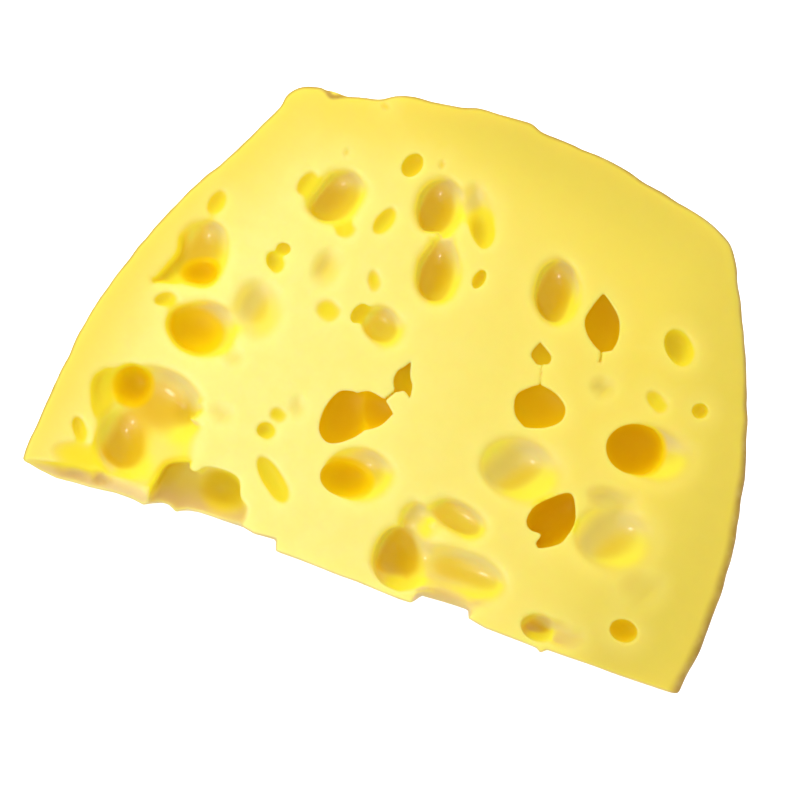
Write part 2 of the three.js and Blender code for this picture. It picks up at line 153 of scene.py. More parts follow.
# The near cut's ragged line on the upper face, where two eyes lost their thin front walls.
NEAR_CUT = [
    (-75, -0.2), (-68.5, -0.3), (-66, -1), (-62.5, -1.6), (-56, -0.9), (-50, -0.1),
    (-45.8, -0.1), (-43.2, -0.4), (-41.2, 1.2), (-39.2, 1.3), (-37.4, 0.1), (-35.6, 1.8),
    (-31, 2.3), (-23, 2.6), (-19.5, 1.8), (-15, 2.3), (-14.3, 0), (-3, -0.3), (6.5, -0.5),
    (12.8, -0.8), (15.2, -0.8), (15.8, 1.3), (20.6, 1.6), (26.2, 1.8), (26.6, 0.3),
    (30.5, -0.5), (41.4, -0.7), (42.5, -1.4), (43.6, -0.4), (58, -0.2), (78, 0),
]
CUT_DEPTH = 20.0  # the near cut's wall, with a little to spare
LOWER_RAGGED = 0.15  # how ragged that wall is at its foot, as a share of its top
NEAR_RELIEF = (3.2, 0.16, 5)  # its small hills, given as the rind's waves are

# The near cut stands upright, ragged at the upper face and nearly plain at its foot.
near_line = np.array(NEAR_CUT, float)
near_top = distance_to_line(U, R - TIP_LENGTH, near_line)
behind_cut = R[None, :] - TIP_LENGTH > np.interp(U, *near_line.T)[:, None]
near_top = np.where(behind_cut, -near_top, near_top)
near_foot = np.broadcast_to(TIP_LENGTH - R, near_top.shape)
fade = np.clip(-H / CUT_DEPTH, 0, 1) * (1 - LOWER_RAGGED)
near = (near_top[:, :, None] * (1 - fade) + near_foot[:, :, None] * fade).astype(np.float32)
near += waves(axes, *NEAR_RELIEF).astype(np.float32)

# The upper face has faint hills, given as the rind's waves are, and the lower one is flat.
UPPER_RELIEF = [(16, 0.12, 6), (4, 0.03, 7)]
hills = sum(waves(axes[:2], *relief) for relief in UPPER_RELIEF)
upper = (H[None, None, :] - hills[:, :, None]).astype(np.float32)
lower = (-H * math.cos(WEDGE_ANGLE))[None, :] - (R * math.sin(WEDGE_ANGLE))[:, None]
lower = np.broadcast_to(lower[None], rind.shape).astype(np.float32)

EDGE_ROUND = 0.9  # how far the knife's edges are rounded
RIGHT_ROUND = 2.2  # and how much more where the right side softened
RIGHT_FROM, RIGHT_TO = 25, 60  # where along u that starts, and where it is in full
to_right = np.clip((U - RIGHT_FROM) / (RIGHT_TO - RIGHT_FROM), 0, 1)
rim_round = EDGE_ROUND + RIGHT_ROUND * to_right[:, None, None]
cheese = soft_max(soft_max(rind, upper, rim_round), soft_max(near, lower, EDGE_ROUND), EDGE_ROUND)
outer = cheese.copy()  # the wedge without its eyes

# How far an eye's middle lies under the face, as a share of its half height: a pocket widens
# inwards, a cup, a bowl and an eye split by the near cut are opened about through their middle,
# and a dish is a shallow part of its bubble.
POCKET, CUP, SPLIT, BOWL, DISH = 0.4, 0.15, 0.06, 0.05, -0.5

# How soft the rims are, and how much softer on the side where the knife dragged the paste.
SOFT_RIM = {POCKET: 0.3, CUP: 0.9, SPLIT: 0.9, BOWL: 1.5, DISH: 1.5}
DRAGGED_RIM = {POCKET: 0.4, CUP: 0.8, SPLIT: 0.8, BOWL: 2.0, DISH: 1.5}
TORN_RIM = 0.3
MERGED_RIM = 2.4  # of merged eyes and bowls, which don't widen under their rim
MERGED_DRAGGED = 1.0
CRISP_BAND = 4  # the near cut's knife left the rims crisp this far in
CRISPEST = 0.3  # their softness at the cut, as a share of the rest
DRAG = (0.905, -0.425)  # direction of the drag on the upper face
FAR = (0.424, 0.905)  # direction across it, towards an eye's far wall, which has a painted sheen
LID = 0.9  # thickness of the rim over a pocket that widens under it
LID_SLOPE = 1.2  # how far below the lid the pocket has widened in full
TORN_EDGE = 0.8  # how far a torn rim's own edge is rounded into its hollows
SHARP_RIDGE = 0.6  # how far the ridge between two merged pockets is rounded
SOFT_RIDGE = 2.8  # and the ridge between two merged bowls
RIM_REACH = 6  # how far round a torn eye its rim is felt
TORN_DEPTH = 18  # how far down a torn eye may go
CRACK_REACH = 2  # how far round a crack it is felt
CRACK_EDGE = 0.2  # how far a crack's edges are rounded
TINY = 1e-6  # keeps an eye's middle from a division by nothing

# The knife pressed the paste as it went, so all eyes of the upper face but the pockets lean as
# they go down: how far along u and away from the near cut, for each millimetre of depth.
LEAN = (-0.36, -0.12)

# The eyes that are near each spot of the grid: the distance to the closest one, and to the closest
# of each kind that has a tone of its own.
NO_EYE = 9  # the distance where none is near
eyes = np.full(cheese.shape, NO_EYE, np.float32)
linings = {kind: eyes.copy() for kind in (POCKET, CUP, SPLIT, DISH)}


def closed_curve(points, steps=6):
    """A smooth closed line through the points."""
    p = np.array(points, float)
    line = []
    for a, b, c, d in zip(np.roll(p, 1, 0), p, np.roll(p, -1, 0), np.roll(p, -2, 0)):
        for t in np.linspace(0, 1, steps, endpoint=False):
            line.append(
                0.5 * (2 * b + (c - a) * t + (2 * a - 5 * b + 4 * c - d) * t ** 2
                       + (3 * b - a - 3 * c + d) * t ** 3)
            )
    return np.array(line)


def within_outline(x, y, line):
    """Distance of each grid point to a closed line, less than zero inside it."""
    inside = np.zeros((len(x), len(y)), bool)
    px, py = np.meshgrid(x, y, indexing="ij")
    for a, b in zip(line, np.roll(line, -1, 0)):
        if a[1] != b[1]:
            crossing = a[0] + (py - a[1]) * (b[0] - a[0]) / (b[1] - a[1])
            inside ^= ((a[1] > py) != (b[1] > py)) & (px < crossing)
    distance = distance_to_line(x, y, np.vstack([line, line[:1]]))
    return np.where(inside, -distance, distance)


def eye_frame(turn):
    """Axes of an eye on a face: along its length, along its width, and out of the face."""
    t = math.radians(turn)
    return (
        Vector((math.cos(t), math.sin(t), 0)),
        Vector((-math.sin(t), math.cos(t), 0)),
        Vector((0, 0, 1)),
    )


def window_of(axes, low, high):
    """The part of the grid between two corners."""
    return tuple(
        slice(max(0, int(np.searchsorted(axis, a))), int(np.searchsorted(axis, b)))
        for axis, a, b in zip(axes, low, high)
    )


def hollow(axes, window, middle, frame_axes, kind, length, width, depth, lean=(0, 0)):
    """Distance to one round eye, a leaning ellipsoid, in a part of the grid."""
    half_height = depth / (1 + kind)
    swell = 1 / math.sqrt(1 - kind * kind)
    radii = (length / 2 * swell, width / 2 * swell, half_height)
    grid = np.meshgrid(*[axis[w] - c for axis, w, c in zip(axes, window, middle)], indexing="ij")
    grid = [grid[0] + lean[0] * grid[2], grid[1] + lean[1] * grid[2], grid[2]]
    along = [sum(g * a for g, a in zip(grid, direction)) for direction in frame_axes]
    along[2] = along[2] + kind * half_height
    level = np.sqrt(sum((a / radius) ** 2 for a, radius in zip(along, radii))) + TINY
    slope = np.sqrt(sum((a / radius ** 2) ** 2 for a, radius in zip(along, radii))) + TINY
    return level * (level - 1) / slope


def rim_softness(axes, window, middle, radius, soft, dragged):
    """How soft a rim is at each spot round its eye: less so at the near cut."""
    across = (axes[0][window[0]] - middle[0])[:, None] * DRAG[0]
    lean = np.clip((across + (axes[1][window[1]] - middle[1])[None, :] * DRAG[1]) / radius, 0, 1)
    crisp = np.clip((axes[1][window[1]] - TIP_LENGTH) / CRISP_BAND, CRISPEST, 1)
    return ((soft + dragged * lean * lean * (3 - 2 * lean)) * crisp)[:, :, None]


def carve(field, axes, middle, frame_axes, kind, length, width, depth, lean=(0, 0)):
    """Cuts one round eye out of the field. A small eye's rim is no softer than the eye is wide."""
    reach = max(length, width, depth) * 0.7 + 4
    window = window_of(axes, np.array(middle) - reach, np.array(middle) + reach)
    distance = hollow(axes, window, middle, frame_axes, kind, length, width, depth, lean)
    radius = (length + width) / 4
    soft = rim_softness(axes, window, middle, radius, SOFT_RIM[kind], DRAGGED_RIM[kind])
    soft = np.minimum(soft, radius * 1.2)
    field[window] = soft_max(field[window], -distance, soft)
    eyes[window] = np.minimum(eyes[window], distance)
    if kind in linings:
        linings[kind][window] = np.minimum(linings[kind][window], distance)


def carve_torn(field, axes, widening, outline, rows):
    """Cuts the round hollows that one uneven rim opens."""
    line = closed_curve(outline)
    low = np.append(line.min(0) + (0, TIP_LENGTH) - RIM_REACH, -TORN_DEPTH)
    high = np.append(line.max(0) + (0, TIP_LENGTH) + RIM_REACH, RIM_REACH)
    window = window_of(axes, low, high)
    inside = within_outline(axes[0][window[0]], axes[1][window[1]] - TIP_LENGTH, line)
    under = np.clip((-axes[2][window[2]] - LID) / LID_SLOPE, 0, 1)
    under = widening * under * under * (3 - 2 * under)
    opening = inside[:, :, None] - under[None, None, :]
    hollows = None
    for kind, u, s, length, width, turn, depth in rows:
        middle = (u, TIP_LENGTH + s, 0)
        lean = (0, 0) if kind == POCKET else LEAN
        one = -hollow(axes, window, middle, eye_frame(turn), kind, length, width, depth, lean)
        if kind in linings:
            linings[kind][window] = np.minimum(linings[kind][window], np.maximum(-one, opening))
        ridge = SHARP_RIDGE if widening or kind == POCKET else SOFT_RIDGE
        hollows = one if hollows is None else soft_max(hollows, one, ridge)
    distance = soft_max(-hollows, opening, TORN_EDGE)
    middle = (line.min(0) + line.max(0)) / 2 + (0, TIP_LENGTH)
    radius = np.mean(line.max(0) - line.min(0)) / 2
    rim = (TORN_RIM, 0) if widening else (MERGED_RIM, MERGED_DRAGGED)
    if rows[0][0] == SPLIT:
        rim = (SOFT_RIM[SPLIT], DRAGGED_RIM[SPLIT])
    soft = rim_softness(axes, window, middle, radius, *rim)
    field[window] = soft_max(field[window], -distance, soft)
    eyes[window] = np.minimum(eyes[window], distance)


def crack(field, axes, start, end, width, depth):
    """Cuts a narrow groove that thins out downwards."""
    line = np.array([start, end], float) + (0, TIP_LENGTH)
    low = np.append(line.min(0) - CRACK_REACH, -depth - CRACK_REACH)
    high = np.append(line.max(0) + CRACK_REACH, CRACK_REACH)
    window = window_of(axes, low, high)
    sides = distance_to_line(axes[0][window[0]], axes[1][window[1]], line)
    taper = width / 2 * np.clip(1 + axes[2][window[2]] / depth, 0, 1)
    distance = sides[:, :, None] - taper[None, None, :]
    below = np.broadcast_to(-depth - axes[2][window[2]], distance.shape)
    field[window] = soft_max(field[window], -np.maximum(distance, below), CRACK_EDGE)


# Round eyes of the upper face: kind, u, distance from the near cut, length and width of the
# opening, turn of its length in degrees, depth.
ROUND_EYES = [
    # left part of the face
    (CUP, -59, 4.9, 10.5, 5.6, 9, 0.8), (CUP, -60.6, 10.2, 4.6, 2.6, -55, 1.3),
    (BOWL, -57, -1.4, 32, 8.4, 5, 2.4), (SPLIT, -58.2, 0.5, 8.6, 4, 8, 2.7),
    (SPLIT, -53, 1.5, 4.4, 3.8, 0, 2.6),
    (CUP, -52.4, 40.7, 4.4, 2.6, 33, 1.4), (DISH, -34.1, 45.1, 11.6, 9.6, -81, 2.3),
    (DISH, -35.3, 34.1, 3.4, 3, 19, 0.6), (CUP, -48.7, 62.6, 5.2, 3, 74, 1.2),
    (POCKET, -32.8, 58, 2.8, 2.4, 19, 1.4), (CUP, -33.5, 55.1, 4.2, 3.2, -46, 1.7),
    (DISH, -34, 22.5, 4, 3, 0, 0.6),
    # top part
    (CUP, -32.3, 72.1, 5.4, 3.4, 69, 1.4), (CUP, -21.9, 65.6, 3.8, 2.6, 38, 1.1),
    (CUP, -15, 69.9, 6.2, 3.2, 69, 1.5), (DISH, -23.5, 57.4, 7.4, 4.8, 79, 1.4),
    (CUP, -13.2, 58, 4, 2.4, -71, 0.9), (CUP, -20.1, 49.3, 4.6, 4.2, 19, 0.9),
    (POCKET, -13.9, 50.7, 4.2, 2.6, 69, 1.9), (BOWL, -8.7, 50, 8, 7.2, -26, 3.6),
    (POCKET, -13.5, 82.2, 4.8, 3.6, 69, 2.1), (DISH, 1.9, 78.2, 9.6, 5.4, -61, 2),
    (CUP, -7.8, 84.1, 1.6, 1, 80, 0.5), (CUP, -22.4, 91.7, 1.5, 1.1, 0, 0.5),
    (CUP, -26.8, 80.5, 1.6, 1, 80, 0.5),
    (CUP, 4.2, 74.6, 7.2, 4, -61, 2.6), (POCKET, 6.7, 64.9, 3.8, 2.2, 79, 1.8),
    # right part
    (CUP, 48.7, 64.9, 7.2, 5, -46, 3), (DISH, 36.8, 52.5, 3.8, 3.4, 19, 0.9),
    (CUP, 48, 53.4, 4.6, 3, -31, 1.2), (POCKET, 56.5, 54.3, 2.9, 2.8, 19, 1.9),
    (DISH, 49.9, 43.4, 15.5, 10.6, 7, 4.2), (DISH, 26.6, 31.8, 16, 12.8, 4, 4.2),
    (DISH, 48.4, 25.2, 15.4, 13.2, 9, 3.6), (DISH, 45.6, 32, 8.8, 4.6, 4, 1.6),
    (DISH, 56.4, 17.8, 6, 5.4, 20, 0.8), (POCKET, 56.5, 8.4, 5.2, 4.2, 0, 3.2),
    (BOWL, 40.8, 3.3, 7, 5.2, 5, 4.8), (DISH, 45.4, 3.2, 6.4, 4.6, 5, 1.4),
    # middle
    (BOWL, -3.6, 20.4, 13, 10, 19, 4.2), (POCKET, -5.8, 18.4, 9.6, 6.8, 9, 5.6),
    (CUP, -24, 22.4, 3.6, 3.2, 19, 1.7), (CUP, -22.8, 26.2, 3.2, 2.8, 19, 1),
    (DISH, -19.4, 28.9, 3.8, 2.4, -71, 0.7), (CUP, -19.5, 13.6, 10.2, 4, -40, 1.8),
]

# Eyes whose rim broke away unevenly. Each has how far it widens under its rim, the rim's outline
# (a point given twice is a corner), and its round hollows as rows like those above.
TORN_EYES = [
    # the merged eyes at the left
    (0, [(-60.8, 19.4), (-59.7, 22.5), (-57.2, 24.4), (-57.2, 24.4), (-53.6, 26.5), (-48.8, 27.1),
         (-43.6, 26.8), (-38.8, 25), (-38.8, 25), (-39.2, 22.9), (-38.3, 21.7), (-39.6, 19.4),
         (-39.6, 19.4), (-34, 15), (-34, 6), (-42, 3), (-52.2, 3.5), (-57, 7.6), (-58, 12.2)],
     [(BOWL, -46.5, 19.8, 18, 15, -8, 5.2), (POCKET, -53.3, 21.6, 8, 7.2, -60, 6.2),
      (BOWL, -50.6, 10.8, 14, 11.4, -60, 6.6), (CUP, -58.2, 18.8, 9.6, 6, -66, 2.2),
      (BOWL, -43.2, 10.4, 12, 9.4, 39, 3), (BOWL, -40.8, 20.9, 4.6, 3.6, -60, 4.6)]),
    # the torn eye at the near cut, left
    (0, [(-42.4, 5), (-41.3, 9), (-37, 11.1), (-37, 11.1), (-36.4, 9.8), (-34.9, 9.7),
         (-33.3, 11.5), (-30, 13.3), (-26.5, 12.2), (-24.6, 7.7), (-21.6, 5.6), (-20.4, 1.3),
         (-20.4, -4), (-42, -4), (-42.6, 1)],
     [(SPLIT, -33, 4.6, 21, 14, 0, 7.4), (CUP, -28.2, 7.4, 8.6, 8, 19, 7.4),
      (CUP, -38.8, 6.6, 9, 7.6, 59, 5.2)]),
    # the merged eyes at the near cut, right of the middle
    (0, [(5.1, 4), (4.5, 8), (5.6, 11.3), (7.7, 13.1), (7.7, 13.1), (7.4, 16), (9.1, 18.3),
         (12.3, 17.7), (13.5, 14.9), (16.9, 14.9), (21, 14.8), (25.5, 13.3), (30.3, 9.7),
         (31.2, 6.5), (27, 1.5), (20, -4), (12.3, 0.2), (7.8, 1)],
     [(BOWL, 9.8, 7.4, 14, 11.6, -66, 7.4), (DISH, 10.6, 15.4, 8.4, 8, -81, 2.6),
      (BOWL, 21.6, 8.2, 19, 9, 3, 4), (SPLIT, 21.5, 0.4, 11.6, 5.8, 2, 4.2)]),
    (0, [(13, 18), (13.5, 20.2), (16.1, 21.4), (20.1, 20.9), (23.2, 18.6), (22.8, 16.6),
         (19.8, 15.7), (16, 16.2)],
     [(BOWL, 18.2, 18.4, 12.4, 7.6, -16, 3.2)]),
    # left part of the face
    (0, [(-52.9, 56.5), (-49.1, 58.2), (-45.7, 57.7), (-44, 53.5), (-44.1, 48.1), (-45.7, 46.2),
         (-49.5, 45.3), (-55.5, 43.8), (-55.5, 43.8), (-54.2, 47), (-53, 50.5), (-53.6, 54.2)],
     [(BOWL, -47.8, 52.4, 13.4, 9.8, -81, 4.6), (POCKET, -47.9, 48.3, 6.8, 5.6, 19, 5.6),
      (CUP, -52.6, 48.6, 13, 5.6, 68, 2.8)]),
    (0, [(-49.3, 40), (-44.4, 42.7), (-39.6, 42.7), (-37.2, 39.6), (-37.7, 35.4),
         (-41.3, 32.7), (-46.3, 32.5), (-49.7, 34.9), (-50.5, 37.9)],
     [(BOWL, -43.7, 37.6, 14.6, 11.6, 9, 5), (POCKET, -45.2, 36.4, 10.4, 8.2, 9, 5.4)]),
    # top part
    (0, [(-28.2, 75.8), (-24.5, 76.9), (-21.5, 74.9), (-21.6, 71.5), (-23.1, 67.8),
         (-27.6, 65.9), (-31.1, 67.9), (-29.6, 73.5)],
     [(BOWL, -26.2, 71.5, 13, 10.6, 58, 5)]),
    (0, [(-9, 80.1), (-5.8, 81.6), (-2.3, 80), (-1.2, 76.2), (-2, 72.3), (-3.2, 70.2),
         (-3.2, 70.2), (-4.6, 71.2), (-7.6, 70.8), (-9.8, 73.5), (-10.3, 77.1)],
     [(BOWL, -5.8, 76.1, 13, 10.4, -76, 5.6)]),
    (0, [(-4.5, 69.1), (-4.5, 69.1), (-1, 70.1), (-1, 70.1), (1, 67.8), (2.4, 63.9), (2, 59.5),
         (-1.6, 57.7), (-4.7, 59.4), (-6.1, 64), (-5.2, 67.4)],
     [(BOWL, -1.8, 63.9, 14, 9.8, -81, 5.6)]),
    # right part
    (0, [(20.2, 73.4), (23.7, 72.5), (25.9, 69.1), (26.4, 64.6), (24.2, 61.8), (20.8, 62.1),
         (18.1, 65.4), (17.8, 70.6)],
     [(BOWL, 22.1, 67.6, 14.4, 10.4, -79, 5.8)]),
    (1.2, [(31, 70.2), (31, 70.2), (33.4, 68.5), (35.7, 66.1), (36.7, 62.7), (36.4, 60),
         (36.4, 60), (34.1, 59.2), (30.9, 61.2), (29.3, 64), (29.9, 67.3)],
     [(POCKET, 33.2, 64.2, 13, 10, -71, 5.4)]),
    (0.8, [(22.3, 57), (22.3, 57), (25.3, 55), (25.4, 53.4), (25.4, 53.4), (23.3, 52.5),
         (23.3, 52.5), (21.4, 54.1)],
     [(POCKET, 23.4, 54.6, 6.6, 6, -41, 2.4)]),
    (1.2, [(25.1, 49), (25.1, 49), (28.7, 48.2), (31.3, 46.2), (31.4, 43.5), (28.8, 41.2),
         (25, 39.9), (25, 39.9), (22.3, 41.8), (21.3, 45.3), (23.1, 47.6)],
     [(POCKET, 26.4, 44.6, 12.4, 10, -6, 5)]),
    (1.2, [(41.2, 42.9), (42.8, 46.2), (46.3, 48), (49.9, 47.2), (51.8, 44.5), (51.8, 41.2),
         (49.1, 38.6), (45.6, 38), (42.5, 39.6)],
     [(POCKET, 46.5, 43, 11, 10, -1, 7.5)]),
    (0.3, [(36.8, 30.3), (38.4, 30.4), (40.4, 25.9), (39.9, 21.9), (39.4, 20.3), (35.4, 17.9),
         (35.4, 17.9), (34.6, 19), (35, 20.9), (32.7, 21.1), (31.3, 22.5), (31.5, 24.9),
         (33.1, 27.1)],
     [(POCKET, 36.2, 24.4, 13, 9.2, 64, 7.5)]),
    # middle
    (0.8, [(-0.8, 45), (-0.8, 45), (-0.1, 42.3), (1, 40.4), (1.4, 37.9), (1.4, 37.9), (-0.2, 38.9),
         (-1.7, 38.3), (-2.9, 40.1), (-2.8, 42.2), (-1.8, 43.5)],
     [(POCKET, -0.8, 41, 9.4, 6, -81, 3)]),
    (0.8, [(-14, 25.9), (-14.3, 30.4), (-12.7, 34.4), (-10.1, 35.5), (-9, 35.5), (-7.3, 36.7),
         (-5.1, 36.4), (-3.1, 35.8), (-0.8, 33.9), (-0.8, 33.9), (-2.3, 31), (-4.8, 28.9),
         (-7.3, 26.3), (-9.5, 24.7), (-11.9, 24.1)],
     [(POCKET, -10.2, 30.2, 12.8, 10.2, 89, 6), (POCKET, -5, 33, 9.6, 8, -1, 5.6)]),
]

# Cracks: from and to on the upper face, width and depth.
CRACKS = [
    ((-1.5, 39), (-3.5, 35.7), 0.6, 2.2), ((34.3, 59.6), (34.9, 57), 0.6, 1.6),
    ((24.2, 52.8), (25.1, 48.8), 0.5, 0.6),
]

for kind, u, s, length, width, turn, depth in ROUND_EYES:
    lean = (0, 0) if kind == POCKET else LEAN
    carve(cheese, axes, (u, TIP_LENGTH + s, 0), eye_frame(turn), kind, length, width, depth, lean)
for widening, outline, rows in TORN_EYES:
    carve_torn(cheese, axes, widening, outline, rows)
for start, end, width, depth in CRACKS:
    crack(cheese, axes, start, end, width, depth)

# Eyes of the near cut: kind, u, depth under the upper face, length, width and depth.
NEAR_EYES = [
    (BOWL, -55, 9.5, 7, 5.4, 3), (DISH, -4, 8, 10, 7, 2.4), (BOWL, 5, 12.5, 4.6, 3.8, 2.2),
    (POCKET, 35, 10, 8.4, 6.4, 5.5), (DISH, 54, 7, 5, 4.2, 1.2), (BOWL, 62, 12, 4, 3.4, 2),
]
for kind, u, deep, length, width, depth in NEAR_EYES:
    face_axes = (Vector((1, 0, 0)), Vector((0, 0, 1)), Vector((0, -1, 0)))
    carve(cheese, axes, (u, TIP_LENGTH, -deep), face_axes, kind, length, width, depth)

# Eyes of the lower face are strewn by a rule, clear of the rind, each other and the upper eyes.
LOWER_EYES = 26
LOWER_SEED = 11
RIND_MARGIN = 9
EYE_WALL = 3
UPPER_EYES = ROUND_EYES + [row for _, _, rows in TORN_EYES for row in rows]


def numbers(seed):
    """Numbers from 0 to 1 that look random and are the same in every run."""
    state = seed
    while True:
        state = (state * 16807) % 2147483647
        yield state / 2147483647


def lower_eyes():
    """Rows for the lower face's eyes, many small and few large: drawn until all have a place."""
    draw = numbers(LOWER_SEED)
    upper = [(u, TIP_LENGTH + s, depth / 2, (length + width) / 4)
             for _, u, s, length, width, _, depth in UPPER_EYES]
    rind = rind_line[::FINER]
    placed = []
    while len(placed) < LOWER_EYES:
        length = 3.5 + 13 * next(draw) ** 1.4
        width = length * (0.65 + 0.3 * next(draw))
        kind = (POCKET, BOWL, DISH)[int(3 * next(draw))]
        depth = width * (0.42 + 0.3 * kind + 0.12 * next(draw))
        u = -75 + 150 * next(draw)
        r = TIP_LENGTH + 105 * next(draw)
        turn = 180 * next(draw)
        radius = length / 2
        in_rind = np.hypot(rind[:, 0] - u, rind[:, 1] - r).min() > radius + RIND_MARGIN
        above = rind[rind[:, 1] > r]
        in_outline = (
            r > TIP_LENGTH / math.cos(WEDGE_ANGLE) + radius + RIND_MARGIN / 2
            and (above[:, 0] < u).any()
            and (above[:, 0] > u).any()
            and math.hypot(u / 70, (r - TIP_LENGTH) / 97) < 1.25
        )
        thickness = r * math.sin(WEDGE_ANGLE)
        clear_of_upper = thickness > 30 or all(
            math.dist((eu, er, thickness - ed), (u, r, depth / 2)) > e_radius + radius + EYE_WALL
            for eu, er, ed, e_radius in upper
        )
        clear_of_lower = all(
            math.hypot(e[1] - u, e[2] - r) > e[3] / 2 + radius + EYE_WALL for e in placed
        )
        if in_rind and in_outline and clear_of_upper and clear_of_lower:
            placed.append((kind, u, r, length, width, turn, depth))
    return placed


to_lower = np.array([
    [1, 0, 0],
    [0, math.cos(WEDGE_ANGLE), -math.sin(WEDGE_ANGLE)],
    [0, -math.sin(WEDGE_ANGLE), -math.cos(WEDGE_ANGLE)],
])
for kind, u, r, length, width, turn, depth in lower_eyes():
    face_axes = [Vector(np.array(v) @ to_lower) for v in eye_frame(-turn)]
    middle = Vector(np.array([u, r, 0]) @ to_lower)
    carve(cheese, axes, middle, face_axes, kind, length, width, depth)


def surface(field):
    """Points and four-sided faces of the zero surface of a field that is negative inside."""
    inside = field < 0
    nx, ny, nz = field.shape
    count = np.zeros((nx - 1, ny - 1, nz - 1), np.uint8)
    for a in (0, 1):
        for b in (0, 1):
            for c in (0, 1):
                count += inside[a:nx - 1 + a, b:ny - 1 + b, c:nz - 1 + c]
    cells = np.argwhere((count > 0) & (count < 8))
    number = np.full(count.shape, -1, np.int32)
    number[tuple(cells.T)] = np.arange(len(cells))
    total = np.zeros((len(cells), 3))
    hits = np.zeros(len(cells))
    faces = []
    for axis in range(3):
        b, c = (axis + 1) % 3, (axis + 2) % 3
        step = np.eye(3, dtype=int)[axis]
        for corner_b in (0, 1):
            for corner_c in (0, 1):
                start = cells.copy()
                start[:, b] += corner_b
                start[:, c] += corner_c
                first = field[tuple(start.T)]
                last = field[tuple((start + step).T)]
                cross = (first < 0) != (last < 0)
                t = first / np.where(cross, first - last, 1)
                spot = start + t[:, None] * step
                total[cross] += spot[cross]
                hits += cross
        low = [slice(None)] * 3
        high = [slice(None)] * 3
        low[axis] = slice(0, -1)
        high[axis] = slice(1, None)
        edges = np.argwhere(inside[tuple(low)] != inside[tuple(high)])
        around = []
        for back_b, back_c in ((1, 1), (0, 1), (0, 0), (1, 0)):
            cell = edges.copy()
            cell[:, b] -= back_b
            cell[:, c] -= back_c
            around.append(number[tuple(cell.T)])
        quads = np.stack(around, 1)
        outward = inside[tuple(edges.T)]
        quads[~outward] = quads[~outward][:, ::-1]
        faces.append(quads)
    return total / hits[:, None], np.vstack(faces)


points, quads = surface(cheese)
points = points * GRID + np.array([axis[0] for axis in axes])

# From the frame of the upper face to the frame of the row.
tilt = np.array([
    [1, 0, 0],
    [0, math.cos(WEDGE_ANGLE), math.sin(WEDGE_ANGLE)],
    [0, -math.sin(WEDGE_ANGLE), math.cos(WEDGE_ANGLE)],
])
shift = np.array([
    (rind_line[:, 0].min() + rind_line[:, 0].max()) / 2,
    (crown + (TIP_LENGTH + near_line[:, 1].min()) * math.cos(WEDGE_ANGLE)) / 2,
    0,
])
placed = (points @ tilt - shift) * MM

mesh = bpy.data.meshes.new("cheese_wedge")
mesh.vertices.add(len(placed))
mesh.vertices.foreach_set("co", placed.astype(np.float32).ravel())
mesh.loops.add(len(quads) * 4)
mesh.loops.foreach_set("vertex_index", quads.astype(np.int32).ravel())
mesh.polygons.add(len(quads))
mesh.polygons.foreach_set("loop_start", np.arange(0, len(quads) * 4, 4, dtype=np.int32))
mesh.update(calc_edges=True)
wedge = bpy.data.objects.new("cheese_wedge", mesh)
bpy.context.scene.collection.objects.link(wedge)
bpy.context.view_layer.objects.active = wedge
wedge.select_set(True)
TRIANGLES = 190000
thin = wedge.modifiers.new("thin", "DECIMATE")
thin.ratio = TRIANGLES / (2 * len(quads))
bpy.ops.object.modifier_apply(modifier=thin.name)
mesh = wedge.data
for polygon in mesh.polygons:
    polygon.use_smooth = True

vertices = np.empty(len(mesh.vertices) * 3, np.float32)
mesh.vertices.foreach_get("co", vertices)
spots = (vertices.reshape(-1, 3) / MM + shift) @ tilt.T
spots = (spots - np.array([axis[0] for axis in axes])) / GRID


def read_off(field, spots):
    """Values of a grid field between its points."""
    base = np.clip(np.floor(spots).astype(int), 0, np.array(field.shape) - 2)
    f = spots - base
    value = 0
    for corner in np.ndindex(2, 2, 2):
        weight = np.prod(np.where(corner, f, 1 - f), axis=1)
        value = value + weight * field[tuple((base + corner).T)]
    return value


# How much of what is around each spot is cheese, counted in a box, three times over to round it.
ENCLOSED_CELLS = 4  # cells of twice the grid's on each side of the spot
ON_FLAT, IN_POCKET = 0.5, 0.9  # the share of them that is cheese, on a flat face and in a pocket
around = (cheese[::2, ::2, ::2] < 0).astype(np.float32)
for axis in range(3):
    for _ in range(3):
        total = np.cumsum(np.insert(around, [0] * (ENCLOSED_CELLS + 1), 0, axis), axis)
        total = np.concatenate([total] + [np.take(total, [-1], axis)] * ENCLOSED_CELLS, axis)
        width = 2 * ENCLOSED_CELLS + 1
        first = [slice(None)] * 3
        last = [slice(None)] * 3
        first[axis] = slice(0, -width)
        last[axis] = slice(width, None)
        around = (total[tuple(last)] - total[tuple(first)]) / width

normals = np.empty(len(mesh.vertices) * 3, np.float32)
mesh.vertices.foreach_get("normal", normals)
normals = normals.reshape(-1, 3) @ tilt.T
from_middle = spots[:, 0] * GRID + axes[0][0]
from_cut = spots[:, 1] * GRID + axes[1][0] - TIP_LENGTH

# The paste is painted darker towards the right, a painted shade, drier and more so at the rim, and
# darker still at the right end of the near cut, again painted shade: how much the distance from
# the near cut adds to u, where it starts and is in full.
RIGHT_SHADE_SLANT, RIGHT_SHADE_FROM, RIGHT_SHADE_TO = 0.45, -21.8, 83.2
RIM_DRYING, RIM_FROM, RIM_TO = 0.3, 68, 92
CORNER_SHADE_SLANT, CORNER_SHADE_FROM, CORNER_SHADE_TO = -0.5, 30, 70


def share(values, start, end):
    """How far values have come from start to end: none to one, and beyond."""
    return (values - start) / (end - start)


near_rim = np.clip(share(from_cut, RIM_FROM, RIM_TO), 0, 1)
dry_and_shade = share(from_middle + RIGHT_SHADE_SLANT * from_cut, RIGHT_SHADE_FROM, RIGHT_SHADE_TO) + RIM_DRYING * near_rim ** 2

